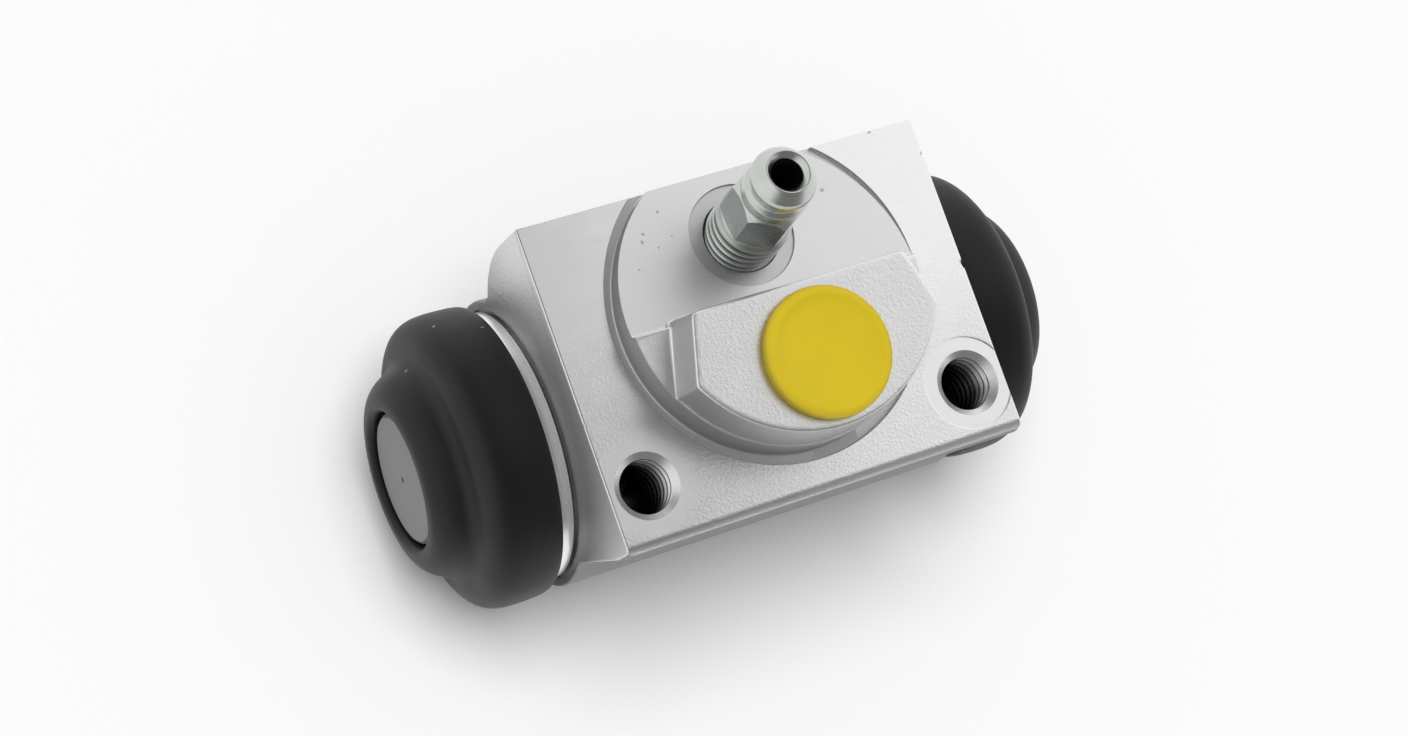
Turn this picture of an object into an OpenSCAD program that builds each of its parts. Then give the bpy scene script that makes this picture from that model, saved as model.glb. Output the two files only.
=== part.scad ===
// Wheel cylinder of a drum brake, sizes in mm.
// +X runs along the bore, +Z points out of the mounting face and +Y towards the bleed screw.
// The origin is the centre of the round boss, in the plane of the mounting face.

/* [Mounting flange] */
// Length of the body along the bore
flange_l = 40; // [36:0.5:56]
// Boss centre to the flange edge on the bleed side
flange_far = 12; // [10.5:0.1:16]
// Boss centre to the flange edge on the bolt side
flange_near = 18.2; // [17:0.1:24]
// Depth of the straight edge on the bleed side
flange_t = 5.5; // [4:0.1:8]
// Rounding of the flange below that edge
shoulder_r = 11; // [8:0.5:14]
// Rounding of the two corners on the bolt side
corner_r = 1.5; // [0.5:0.1:3]
// Bevel along the edge on the bolt side
edge_bevel = 0.6; // [0.2:0.1:1.2]

/* [Mounting holes] */
// Distance between the two tapped holes
bolt_pitch = 32.6; // [30:0.1:33.4]
// Boss centre to the line of the tapped holes
bolt_y = 12.7; // [12:0.1:14]
// Core diameter of the M6 thread
tap_d = 5; // [4:0.1:6]
// Depth of the tapped holes
tap_l = 9; // [6:0.5:10]
// Mouth diameter of the countersinks
mouth_d = 6.3; // [6.1:0.1:7]
// Diameter of the spot face round the right hole
spot_d = 8.5; // [7.5:0.1:9]
// Depth of the spot face
spot_t = 0.15; // [0.05:0.05:0.4]

/* [Bore and barrel] */
// Bore diameter
bore_d = 19.05; // [17.46:0.01:20.64]
// Bore axis from the boss centre, towards the bolt side
bore_y = 3.9; // [3:0.1:5]
// Bore axis below the mounting face
bore_z = 18.6; // [18:0.1:24]
// Diameter of the cast barrel
barrel_d = 27.4; // [26.4:0.1:32]
// Diameter of the turned ring at each end
ring_d = 25.4; // [24.8:0.1:26.4]
// Width of the turned ring
ring_l = 1.6; // [1:0.1:3]
// Diameter of the seat that carries the boot
seat_d = 23.8; // [22.6:0.1:24.6]
// Length of the boot seat
seat_l = 4.4; // [3.5:0.1:5]
// Bevel at the mouths of the bore
bore_bevel = 0.5; // [0.2:0.1:0.8]

/* [Boss] */
// Boss diameter
boss_d = 28.2; // [27:0.1:30]
// Height of the cast top of the boss
boss_h = 3.2; // [2.6:0.1:4.5]
// Height of the turned pilot at the foot of the boss
pilot_h = 0.6; // [0.3:0.05:0.7]
// Radius that the boss loses above the pilot
boss_draft = 0.05; // [0.02:0.01:0.15]
// Width of the groove round the boss
groove_w = 0.9; // [0.5:0.1:1.5]
// Depth of the groove
groove_t = 0.35; // [0.2:0.05:0.8]

/* [Bleed port] */
// Height of the milled land at the boss centre
land_h = 2.4; // [2:0.1:2.9]
// Lean of the land and of the bleed screw
lean = 8; // [4:0.5:10]
// Boss centre to the bleed screw
bleed_y = 5.8; // [5:0.1:7]
// Offset of the bleed screw along the bore
bleed_x = -0.6; // [-1:0.1:1]
// Diameter of the bleed screw's thread
bleed_d = 7; // [6:0.1:8]
// Depth of the bleed screw's seat
bleed_seat = 10; // [9:0.1:11]
// Diameter of the spot face round the screw
bleed_spot_d = 9.8; // [9:0.1:10.4]

/* [Inlet port] */
// Height of the inlet block's top
inlet_h = 7.5; // [6:0.1:10]
// Half width of the block at the step to the land
inlet_half = 10.5; // [9:0.1:11.5]
// Flare of the block's two sides
inlet_flare = 16; // [8:1:22]
// Draft of the block's sides
inlet_draft = 6; // [2:0.5:9]
// Radius that the round side of the block loses
inlet_taper = 0.5; // [0.3:0.05:0.8]
// Offset of the block along the bore
inlet_x = 0.4; // [-0.6:0.1:0.6]
// Boss centre to the step, towards the bolt side
step_y = 0.4; // [0:0.1:1]
// Boss centre to the inlet port
port_y = 7.1; // [6.8:0.1:7.6]
// Core diameter of the inlet thread
port_d = 9; // [8:0.1:9.6]
// Depth of the inlet thread
port_l = 9; // [8:0.5:11]

/* [Pistons] */
// Middle of the cylinder to the inner end of each piston
piston_in = 9; // [7:0.5:10]
// How far each piston's outer face stands out of the bore
piston_proud = 5.4; // [4.8:0.1:8]
// Diameter of the piston's nose
nose_d = 12.3; // [11:0.1:13]
// Length of the nose
nose_l = 6.2; // [5.5:0.1:7]
// Radial clearance of pistons and seals in the bore
bore_fit = 0.03; // [0.01:0.01:0.08]
// Depth of the seal groove
seal_t = 2; // [1.5:0.1:2.5]
// Width of the seal groove
seal_w = 3.4; // [2.8:0.1:4]

/* [Return spring] */
// Wire diameter
wire_d = 1; // [0.7:0.1:1.3]
// Mean diameter of the coils
coil_d = 9.6; // [8.5:0.1:10.2]
// Number of open turns
coil_n = 6; // [4:1:8]
// Depth of the spring pocket in each piston
pocket_l = 4; // [3:0.5:5]

/* [Boots] */
// Largest diameter of the boots
boot_d = 27.7; // [27.2:0.1:30]
// How far the boot's end stands past the piston's face
boot_proud = 0.6; // [0.3:0.1:1.5]
// Diameter of the boot's nose
boot_nose_d = 17.2; // [16.6:0.1:18.4]
// Thickness of the rubber
boot_t = 1.5; // [1.2:0.1:1.8]
// Radial gap between the boot's lip and the piston's nose
lip_gap = 0.3; // [0.2:0.05:0.5]

/* [Bleed screw] */
// Length of thread standing out of the land
stand_l = 4.3; // [3.5:0.1:5]
// Width of the hexagon across its flats
hex_af = 5.9; // [5.5:0.1:6.4]
// Turn of the hexagon about the screw's axis
hex_turn = 30; // [0:1:60]
// Length of the hexagon
hex_l = 4.8; // [4.2:0.1:5.4]
// Largest diameter of the nipple
nipple_d = 5.9; // [5.2:0.1:6.2]
// Land to the tip of the nipple
tip_l = 13.7; // [13.4:0.1:16]
// Diameter of the bleed hole
bleed_hole = 2.8; // [2:0.1:3]
// Depth of the bevel at its mouth
mouth_bevel = 0.5; // [0.2:0.1:0.6]
// Radial clearance of the screw's thread
screw_fit = 0.05; // [0.02:0.01:0.08]

/* [Port plug] */
// Diameter of the plug's head
plug_d = 12.1; // [11:0.1:13]
// Thickness of the head
plug_t = 1.4; // [1:0.1:2.4]
// Length of the plug's stem
stem_l = 6.5; // [4:0.5:7.5]
// Wall of the hollow stem
stem_wall = 1.3; // [1:0.1:2]
// Radial clearance of the stem
plug_fit = 0.05; // [0.02:0.01:0.1]

/* [Hidden] */
$fn = 96;

e = 0.01;
far_away = 60;
half_l = flange_l / 2;
ring_x = half_l + ring_l;
bore_end = ring_x + seat_l;
boss_r = boss_d / 2;
bore_r = bore_d / 2;
piston_r = bore_r - bore_fit;
barrel_r = barrel_d / 2;
wall_foot_z = bore_z - 0.42 * barrel_r;
land_at_bleed = land_h - bleed_y * tan(lean);
land_up = boss_h + 6;
nose_r = nose_d / 2;
piston_out = bore_end + piston_proud;
nose_x = piston_out - nose_l;
boot_end = piston_out + boot_proud;
seal_x = piston_in + 2;
pocket_x = piston_in + pocket_l;
coil_r = coil_d / 2;
wire_r = wire_d / 2;
screw_r = bleed_d / 2 - screw_fit;
hex_top = stand_l + hex_l;
plug_r = plug_d / 2;
stem_r = port_d / 2 - plug_fit;

function arc(x, y, r, from, to, n) = [
    for (i = [0:n]) let (a = from + (to - from) * i / n) [x + r * cos(a), y + r * sin(a)]
];

// Turns a shape drawn round Z so that its axis is the bore, with its top towards +X
module on_bore() {
    translate([0, -bore_y, -bore_z]) rotate([0, 90, 0]) children();
}

// Revolves an outline of [distance from the middle, radius] points round the bore
module bore_turned(points) {
    on_bore() rotate_extrude() polygon([for (p = points) [p[1], p[0]]]);
}

// Puts a shape drawn round Z on the axis of the bleed screw, with Z = 0 at the land
module on_bleed() {
    translate([bleed_x, bleed_y, land_at_bleed]) rotate([-lean, 0, 0]) children();
}

module at_end(side) {
    if (side > 0) children();
    else mirror([1, 0, 0]) children();
}

// Body

module body_profile() {
    polygon([
        [-flange_near + edge_bevel, 0],
        [flange_far, 0],
        [flange_far, -flange_t],
        [-bore_y + 0.6 * barrel_r, -bore_z],
        [-bore_y - 0.9 * barrel_r, -bore_z],
        [-bore_y - 0.92 * barrel_r, -wall_foot_z],
        [-flange_near, -1.4 * edge_bevel],
    ]);
    intersection() {
        translate([flange_far - shoulder_r, -flange_t]) circle(shoulder_r);
        translate([-far_away, -flange_t - far_away]) square([2 * far_away, far_away]);
    }
    translate([-bore_y, -bore_z]) circle(barrel_r);
}

// All that lies inside one flared, drafted side of the inlet block
module inlet_side(side) {
    translate([inlet_x, 0, 0]) at_end(side) translate([inlet_half, -step_y, inlet_h])
        rotate([0, 0, inlet_flare]) rotate([0, -inlet_draft, 0])
            translate([-far_away, -far_away / 2, -far_away / 2]) cube(far_away);
}

module inlet_block() {
    intersection() {
        cylinder(h = inlet_h, r1 = boss_r, r2 = boss_r - inlet_taper);
        inlet_side(-1);
        inlet_side(1);
        translate([0, -step_y, inlet_h]) rotate([inlet_draft, 0, 0])
            translate([-far_away / 2, -far_away, -far_away / 2]) cube(far_away);
    }
}

module boss() {
    intersection() {
        union() {
            translate([0, 0, -1]) cylinder(h = pilot_h + 1, r = boss_r);
            translate([0, 0, pilot_h])
                cylinder(h = boss_h - pilot_h, r1 = boss_r, r2 = boss_r - boss_draft);
        }
        translate([-far_away / 2, flange_far - far_away, -far_away / 2]) cube(far_away);
    }
}

// What the mill takes off the boss on the bleed side
module land_cut() {
    translate([0, 0, land_h]) rotate([-lean, 0, 0])
        translate([-far_away / 2, -step_y / cos(lean), 0]) cube([far_away, far_away, land_up]);
}

module corner_cut() {
    translate([half_l - corner_r, -flange_near + corner_r, -wall_foot_z]) difference() {
        translate([0, -corner_r - 1, 0]) cube([corner_r + 1, corner_r + 1, wall_foot_z + 1]);
        translate([0, 0, -1]) cylinder(h = wall_foot_z + 3, r = corner_r);
    }
}

module tapped_hole() {
    bevel = (mouth_d - tap_d) / 2;
    translate([0, 0, -tap_l]) cylinder(h = tap_l + 1, d = tap_d);
    translate([0, 0, -tap_l - 0.3 * tap_d]) cylinder(h = 0.3 * tap_d + e, d1 = 0.2, d2 = tap_d);
    translate([0, 0, -bevel]) cylinder(h = bevel + e, d1 = tap_d, d2 = mouth_d);
}

module bleed_port() {
    passage = 2.5;
    on_bleed() {
        translate([0, 0, -0.2]) cylinder(h = 1.2, d = bleed_spot_d);
        translate([0, 0, -bleed_seat]) cylinder(h = bleed_seat + 1, d = bleed_d);
        translate([0, 0, -bleed_seat - 0.4 * bleed_d])
            cylinder(h = 0.4 * bleed_d + e, d1 = 0.2 * bleed_d, d2 = bleed_d);
        translate([0, 0, -bleed_seat - 7]) cylinder(h = 8, d = passage);
    }
}

module inlet_port() {
    passage = 3;
    translate([0, -port_y, 0]) {
        translate([0, 0, inlet_h - port_l]) cylinder(h = port_l + 1, d = port_d);
        translate([0, 0, inlet_h - port_l - 0.3 * port_d])
            cylinder(h = 0.3 * port_d + e, d1 = 0.4 * port_d, d2 = port_d);
        translate([0, 0, -bore_z + 0.5 * bore_r]) cylinder(h = bore_z, d = passage);
        translate([0, 0, inlet_h - 0.5]) cylinder(h = 0.5 + e, d1 = port_d, d2 = port_d + 1);
    }
}

module bore_cut() {
    bore_turned([
        [-bore_end - 1, 0], [-bore_end - 1, bore_r + bore_bevel], [-bore_end, bore_r + bore_bevel],
        [-bore_end + bore_bevel, bore_r], [bore_end - bore_bevel, bore_r],
        [bore_end, bore_r + bore_bevel], [bore_end + 1, bore_r + bore_bevel], [bore_end + 1, 0],
    ]);
}

module body() {
    color("silver") difference() {
        union() {
            difference() {
                union() {
                    rotate([90, 0, 90]) translate([0, 0, -half_l]) linear_extrude(flange_l) body_profile();
                    boss();
                }
                land_cut();
                for (side = [-1, 1]) at_end(side) corner_cut();
            }
            inlet_block();
            for (side = [-1, 1]) at_end(side) bore_turned([
                [half_l - 1, 0], [half_l - 1, ring_d / 2], [ring_x, ring_d / 2],
                [ring_x, seat_d / 2], [bore_end - 0.6, seat_d / 2], [bore_end, seat_d / 2 - 0.6],
                [bore_end, 0],
            ]);
        }
        translate([0, 0, -groove_t]) difference() {
            cylinder(h = groove_t + e, r = boss_r + groove_w);
            translate([0, 0, -1]) cylinder(h = groove_t + 2, r = boss_r);
        }
        translate([-bolt_pitch / 2, -bolt_y, 0]) tapped_hole();
        translate([bolt_pitch / 2, -bolt_y, -spot_t]) {
            tapped_hole();
            cylinder(h = 1, d = spot_d);
        }
        bleed_port();
        inlet_port();
        bore_cut();
    }
}

// Pistons and their seals

module piston(side) {
    color("gray") difference() {
        at_end(side) bore_turned([
            [pocket_x, 0], [pocket_x, coil_r + wire_r + 0.4], [piston_in, coil_r + wire_r + 0.4],
            [piston_in, piston_r - 0.6], [piston_in + 0.6, piston_r], [seal_x, piston_r],
            [seal_x, piston_r - seal_t], [seal_x + seal_w, piston_r - seal_t],
            [seal_x + seal_w, piston_r], [nose_x - 0.5, piston_r], [nose_x, piston_r - 0.5],
            [nose_x, nose_r], [piston_out - 0.3, nose_r], [piston_out, nose_r - 0.3], [piston_out, 0],
        ]);
        translate([side * piston_out, -bore_y, -bore_z]) rotate([0, 90, 0])
            cylinder(h = 0.6, r = 0.3, center = true, $fn = 24);
    }
}

module piston_left() {
    piston(-1);
}

module piston_right() {
    piston(1);
}

// The lip of each seal opens towards the middle, where the fluid is
module seal(side) {
    foot = seal_w - 0.2;
    core = piston_r - seal_t;
    color([0.1, 0.1, 0.1]) at_end(side) bore_turned([
        [seal_x + seal_w, core], [seal_x + seal_w, piston_r], [seal_x + 0.2, piston_r],
        [seal_x + 0.2, piston_r - 0.5], [seal_x + 0.5 * foot, core + 0.5 * seal_t + 0.2],
        [seal_x + 0.5 * foot, core + 0.5 * seal_t - 0.2], [seal_x + 0.2, core + 0.5], [seal_x + 0.2, core],
    ]);
}

module seal_left() {
    seal(-1);
}

module seal_right() {
    seal(1);
}

// Return spring: open turns between two flat end turns

module return_spring() {
    sides = 6;
    steps = 16;
    turns = coil_n + 1.5;
    n = round(turns * steps);
    half = pocket_x - wire_r;
    function along(t) = -half + 2 * half * min(1, max(0, (t - 0.75) / coil_n));
    points = [
        for (i = [0:n]) let (t = turns * i / n, a = 360 * t, x = along(t))
            for (k = [0:sides - 1]) let (b = 360 * k / sides, r = coil_r + wire_r * cos(b))
                [x + wire_r * sin(b), r * cos(a), r * sin(a)]
    ];
    walls = [
        for (i = [0:n - 1], k = [0:sides - 1]) let (m = (k + 1) % sides)
            [i * sides + k, i * sides + m, (i + 1) * sides + m, (i + 1) * sides + k]
    ];
    caps = [[for (k = [sides - 1:-1:0]) k], [for (k = [0:sides - 1]) n * sides + k]];
    color("dimgray") translate([0, -bore_y, -bore_z])
        polyhedron(points = points, faces = concat(walls, caps), convexity = 10);
}

// Boots: a wide skirt on the seat and a narrower nose round the piston

module boot(side) {
    r = boot_d / 2;
    nose = boot_nose_d / 2;
    lip = nose_r + lip_gap;
    seat = seat_d / 2;
    neck_x = boot_end - 2.4;
    round_r = 3.2;
    outside = concat(
        [[ring_x, r - 0.3], [ring_x + 1, r - 0.1], [ring_x + 2.5, r]],
        arc(neck_x - 0.3 - round_r, r - round_r, round_r, 90, 0, 9),
        [[neck_x, nose + 0.5], [neck_x + 0.3, nose]],
        arc(boot_end - 1.4, nose - 1.4, 1.4, 90, 0, 6)
    );
    inside = [
        [boot_end, lip + 0.4], [boot_end - 0.4, lip], [neck_x - 1.6, lip], [neck_x - 1.6, lip + 0.9],
        [neck_x - 1.2, nose - boot_t], [neck_x - boot_t, r - 3.4], [bore_end + 1.1, r - boot_t - 0.9],
        [bore_end + 0.3, seat], [ring_x, seat],
    ];
    color([0.13, 0.13, 0.13]) at_end(side) bore_turned(concat(outside, inside));
}

module boot_left() {
    boot(-1);
}

module boot_right() {
    boot(1);
}

// Bleed screw: cone point, thread, hexagon and hose nipple

module bleed_screw() {
    hex_r = hex_af / sqrt(3);
    collar_r = hex_af / 2 - 0.05;
    hex_bevel = 0.7;
    nipple_r = nipple_d / 2;
    neck_r = nipple_r - 0.5;
    hole_r = bleed_hole / 2;
    mouth_r = hole_r + mouth_bevel;
    cross_z = -bleed_seat + 4;
    color([0.75, 0.76, 0.72]) on_bleed() difference() {
        union() {
            rotate_extrude() polygon([
                [0, -bleed_seat - 1.6], [1.5, -bleed_seat - 1.6], [screw_r - 0.9, -bleed_seat + 0.4],
                [screw_r - 0.9, -bleed_seat + 1.4], [screw_r, -bleed_seat + 2.2],
                [screw_r, stand_l - 0.6], [screw_r - 0.6, stand_l], [0, stand_l],
            ]);
            rotate([0, 0, hex_turn]) translate([0, 0, stand_l - e])
                cylinder(h = hex_l - hex_bevel + e, r = hex_r, $fn = 6);
            intersection() {
                rotate([0, 0, hex_turn]) translate([0, 0, hex_top - hex_bevel])
                    cylinder(h = hex_bevel, r = hex_r, $fn = 6);
                translate([0, 0, hex_top - hex_bevel])
                    cylinder(h = hex_bevel, r1 = hex_r, r2 = collar_r);
            }
            rotate_extrude() polygon([
                [0, hex_top - 1], [collar_r, hex_top - 1], [collar_r, tip_l - 3.5],
                [neck_r, tip_l - 3.2], [neck_r, tip_l - 2.8], [nipple_r - 0.1, tip_l - 1.9],
                [nipple_r, tip_l - 1.5], [nipple_r - 0.15, tip_l - 1.1],
                [mouth_r + 0.15, tip_l - 0.1], [mouth_r + 0.05, tip_l], [0, tip_l],
            ]);
        }
        translate([0, 0, cross_z]) cylinder(h = tip_l - cross_z + 1, r = hole_r);
        translate([0, 0, tip_l - mouth_bevel]) cylinder(h = mouth_bevel + e, r1 = hole_r, r2 = mouth_r);
        translate([0, 0, cross_z + 0.8]) rotate([0, 90, 0]) cylinder(h = 2 * bleed_d, d = 1.4, center = true);
    }
}

// Port plug: a dished cap on a hollow stem

module port_plug() {
    top = inlet_h + plug_t;
    color([0.85, 0.76, 0.15]) translate([0, -port_y, 0]) rotate_extrude() polygon([
        [0, top - 0.35], [plug_r - 1.4, top - 0.25], [plug_r - 0.8, top],
        [plug_r - 0.35, top - 0.1], [plug_r, top - 0.45], [plug_r, inlet_h], [stem_r, inlet_h],
        [stem_r, inlet_h - stem_l + 0.6], [stem_r - 0.4, inlet_h - stem_l],
        [stem_r - stem_wall, inlet_h - stem_l], [stem_r - stem_wall, inlet_h - 0.6], [0, inlet_h - 0.6],
    ]);
}

body();
piston_left();
piston_right();
seal_left();
seal_right();
return_spring();
boot_left();
boot_right();
bleed_screw();
port_plug();
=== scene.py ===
import math

import bmesh
import bpy
import numpy as np
from mathutils import Matrix, Vector


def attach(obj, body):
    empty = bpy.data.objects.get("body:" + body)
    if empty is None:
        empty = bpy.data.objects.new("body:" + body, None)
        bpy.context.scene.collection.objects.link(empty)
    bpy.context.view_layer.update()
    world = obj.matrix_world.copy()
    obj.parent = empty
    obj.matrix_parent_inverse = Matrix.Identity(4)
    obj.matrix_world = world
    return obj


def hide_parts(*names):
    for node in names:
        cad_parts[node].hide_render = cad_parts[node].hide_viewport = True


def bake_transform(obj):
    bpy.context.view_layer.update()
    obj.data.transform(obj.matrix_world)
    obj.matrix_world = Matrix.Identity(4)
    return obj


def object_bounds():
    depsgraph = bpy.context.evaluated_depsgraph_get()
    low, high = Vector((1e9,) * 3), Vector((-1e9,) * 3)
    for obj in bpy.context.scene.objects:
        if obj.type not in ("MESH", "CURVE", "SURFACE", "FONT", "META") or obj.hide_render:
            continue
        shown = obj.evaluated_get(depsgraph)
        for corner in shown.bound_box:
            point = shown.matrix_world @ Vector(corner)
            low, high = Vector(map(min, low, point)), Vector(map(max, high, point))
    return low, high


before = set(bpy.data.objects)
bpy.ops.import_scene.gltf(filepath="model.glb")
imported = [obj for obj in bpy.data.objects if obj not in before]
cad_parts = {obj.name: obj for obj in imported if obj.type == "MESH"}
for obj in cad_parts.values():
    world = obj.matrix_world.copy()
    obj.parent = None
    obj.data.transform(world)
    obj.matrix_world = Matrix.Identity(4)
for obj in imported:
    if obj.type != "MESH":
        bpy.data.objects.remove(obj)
cad_low, cad_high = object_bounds()

# Body
# One aluminium casting, shot blasted, with the mounting face, the land under the bleed screw,
# the end rings and the bore machined afterwards, and two M6 holes tapped into the face.

MM = 0.001
AROUND = 192
BORE_Y = -3.9
BORE_Z = -18.6
BORE_R = 9.525
BARREL_R = 13.7
END_X = 20.0
FAR_Y = 12.0
NEAR_Y = -18.2
FLANGE_Z = -5.5
SHOULDER_R = 11.0
WALL_FOOT = (-16.5, -12.85)
CORNER_R = 0.6
NEAR_ROUND = 1.1
FAR_ROUND = 0.12
EDGE_RIM = 0.2


def arc(cx, cy, radius, start, end, count):
    """Points of a circular arc between two angles in degrees."""
    angles = np.radians(np.linspace(start, end, count))
    return [(cx + radius * math.cos(a), cy + radius * math.sin(a)) for a in angles]


def eased(points, radius):
    """The same open line with each corner turned into a short curve."""
    line = [tuple(points[0])]
    for before, corner, after in zip(points, points[1:], points[2:]):
        b, c, a = (np.array(p, float) for p in (before, corner, after))
        reach = min(radius, 0.4 * np.linalg.norm(b - c), 0.4 * np.linalg.norm(a - c))
        start = c + (b - c) * reach / np.linalg.norm(b - c)
        end = c + (a - c) * reach / np.linalg.norm(a - c)
        line += [tuple(start), tuple((start + 2 * c + end) / 4), tuple(end)]
    return line + [tuple(points[-1])]


def inset(outline, amount):
    """A clockwise outline moved inwards, by one amount or by one for each point."""
    p = np.array(outline, float)
    along = np.roll(p, -1, 0) - p
    along /= np.linalg.norm(along, axis=1, keepdims=True)
    inward = np.stack((along[:, 1], -along[:, 0]), 1)
    before = np.roll(inward, 1, 0)
    miter = (inward + before) / (1 + np.sum(inward * before, 1, keepdims=True))
    return p + miter * np.reshape(amount, (-1, 1))


def loft(rings):
    """A closed bmesh through rings of points in mm, with a flat cap on each end."""
    shape = bmesh.new()
    rows = [[shape.verts.new(Vector(p) * MM) for p in ring] for ring in rings]
    for lower, upper in zip(rows, rows[1:]):
        for i in range(len(lower)):
            j = (i + 1) % len(lower)
            shape.faces.new((lower[i], lower[j], upper[j], upper[i]))
    shape.faces.new(rows[0])
    shape.faces.new(rows[-1])
    bmesh.ops.recalc_face_normals(shape, faces=shape.faces)
    return shape


def turned(profile, around=AROUND, closed=False, shaped=None):
    """A bmesh turned round Z from (radius, height) points in mm; shaped may vary a radius with the angle."""
    shape = bmesh.new()
    angles = np.linspace(0, 2 * math.pi, around, endpoint=False)
    rings = []
    for radius, height in profile:
        if radius < 1e-6:
            rings.append([shape.verts.new((0, 0, height * MM))])
            continue
        radii = shaped(radius, angles, height) if shaped else np.full(around, radius)
        points = zip(radii * np.cos(angles) * MM, radii * np.sin(angles) * MM)
        rings.append([shape.verts.new((x, y, height * MM)) for x, y in points])
    for lower, upper in zip(rings, rings[1:] + rings[:1] if closed else rings[1:]):
        for i in range(around):
            j = (i + 1) % around
            low_side = [lower[i % len(lower)], lower[j % len(lower)]]
            high_side = [upper[j % len(upper)], upper[i % len(upper)]]
            shape.faces.new(list(dict.fromkeys(low_side + high_side)))
    bmesh.ops.recalc_face_normals(shape, faces=shape.faces)
    return shape


def at(x, y, z):
    """A move to a point in mm."""
    return Matrix.Translation(Vector((x, y, z)) * MM)


def to_bore(side):
    """Lays a turned shape along the bore, with its top towards one end."""
    return at(0, BORE_Y, BORE_Z) @ Matrix.Rotation(side * math.pi / 2, 4, "Y")


def as_object(shape, name, place=Matrix.Identity(4)):
    """A new object with its origin at the frame's, made from a bmesh that is put in its place first."""
    mesh = bpy.data.meshes.new(name)
    shape.transform(place)
    shape.to_mesh(mesh)
    shape.free()
    made = bpy.data.objects.new(name, mesh)
    bpy.context.scene.collection.objects.link(made)
    return made


def taken_back(made):
    """The bmesh of a working object, which is removed."""
    shape = bmesh.new()
    shape.from_mesh(made.data)
    bpy.data.objects.remove(made)
    return shape


def combine(made, operation, shape, place=Matrix.Identity(4)):
    """Adds a shape to a piece, takes it away or keeps what the two share, as plain mesh."""
    other = as_object(shape, "other", place)
    step = made.modifiers.new("step", "BOOLEAN")
    step.operation = operation
    step.solver = "MANIFOLD"
    step.object = other
    mesh = bpy.data.meshes.new_from_object(made.evaluated_get(bpy.context.evaluated_depsgraph_get()))
    mesh.materials.clear()
    made.modifiers.clear()
    made.data = mesh
    bpy.data.objects.remove(other)


def smooth(made, degrees):
    """Smooth shading that breaks at edges sharper than this and keeps wide faces flat."""
    made.data.shade_smooth()
    made.data.set_sharp_from_angle(angle=math.radians(degrees))
    level = made.modifiers.new("flat_faces", "WEIGHTED_NORMAL")
    level.keep_sharp = True


# The outline across the bore, drawn along it with a fine rim at each end. The near edge of the
# mounting face is knocked off by the blasting
near_edge = arc(NEAR_Y + NEAR_ROUND, -NEAR_ROUND, NEAR_ROUND, 90, 180, 11)
far_edge = eased([near_edge[0], (FAR_Y, 0), (FAR_Y, FLANGE_Z)], FAR_ROUND)[1:-1]
shoulder = arc(FAR_Y - SHOULDER_R, FLANGE_Z, SHOULDER_R, 0, -42, 18)
barrel = arc(BORE_Y, BORE_Z, BARREL_R, 19, -200, 76)
housing_outline = near_edge[::-1] + far_edge + shoulder + barrel + [WALL_FOOT]
rim_steps = [(1 - math.cos(a), 1 - math.sin(a)) for a in np.linspace(0, math.pi / 2, 4)]
left_rim = [(-END_X + EDGE_RIM * along, EDGE_RIM * inward) for along, inward in rim_steps]
stations = left_rim + [(-x, inward) for x, inward in reversed(left_rim)]
housing_rings = [[(x, y, z) for y, z in inset(housing_outline, inward)] for x, inward in stations]
body = as_object(loft(housing_rings), "cast_body")

# Upright corners at the two ends of the near wall, which follow its worn upper edge
corner_sweep = arc(0, 0, 1, 0, -90, 10)
corner_path = [(NEAR_Y, WALL_FOOT[1])] + near_edge[::-1] + [(near_edge[0][0], 1)]
for side in (-1, 1):
    corner_rings = []
    for y, z in corner_path:
        worn = y - NEAR_Y
        ring = []
        for c, s in corner_sweep:
            reach = CORNER_R - worn * s * s
            ring.append((END_X - CORNER_R + c * reach, NEAR_Y + CORNER_R + s * reach))
        ring += [(END_X - CORNER_R, NEAR_Y - 1), (END_X + 1, NEAR_Y - 1), (END_X + 1, NEAR_Y + CORNER_R)]
        corner_rings.append([(side * px, py, z) for px, py in ring])
    combine(body, "DIFFERENCE", loft(corner_rings))

# Round boss with a turned groove at its foot, milled down to a sloping land on the bleed side
BOSS_R = 14.1
BOSS_TOP = 3.2
BOSS_FILLET = 0.18
GROOVE_R = 15.1
GROOVE_X = 0.25
GROOVE_DEPTH = 0.4
GROOVE_INNER = 0.2
GROOVE_EASE = 0.06
LAND_LEAN = math.radians(8)
LAND_Z = 2.4
STEP_Y = -0.4
STEP_FILLET = 0.28
STEP_FILLET_Z = 2.72
STEP_ROUND = 0.25
STEP_ROUND_Z = 2.96
PAST_PART = 30
groove = [
    (0, 0.5), (GROOVE_R + GROOVE_EASE, 0.5), (GROOVE_R + GROOVE_EASE, 0.03), (GROOVE_R, -0.05),
    (GROOVE_R, GROOVE_EASE - GROOVE_DEPTH), (GROOVE_R - GROOVE_EASE, -GROOVE_DEPTH),
    (BOSS_R, -GROOVE_INNER), (0, -GROOVE_INNER),
]
combine(body, "DIFFERENCE", turned(groove), at(GROOVE_X, 0, 0))
boss_outline = [(0, -1), (BOSS_R + BOSS_FILLET, -1)]
boss_outline += arc(BOSS_R + BOSS_FILLET, 0.14 - GROOVE_INNER, BOSS_FILLET, -90, -180, 5)
boss_outline += [
    (BOSS_R, 0.6), (BOSS_R - 0.05, BOSS_TOP - 0.07), (BOSS_R - 0.07, BOSS_TOP - 0.02),
    (BOSS_R - 0.12, BOSS_TOP), (0, BOSS_TOP),
]
boss = as_object(turned(boss_outline), "boss")
past_flange = [(-PAST_PART, FAR_Y - 0.01), (-PAST_PART, 40), (PAST_PART, 40), (PAST_PART, FAR_Y - 0.01)]
combine(boss, "DIFFERENCE", loft([[(x, y, z) for x, y in past_flange] for z in (-5, 10)]))
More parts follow.
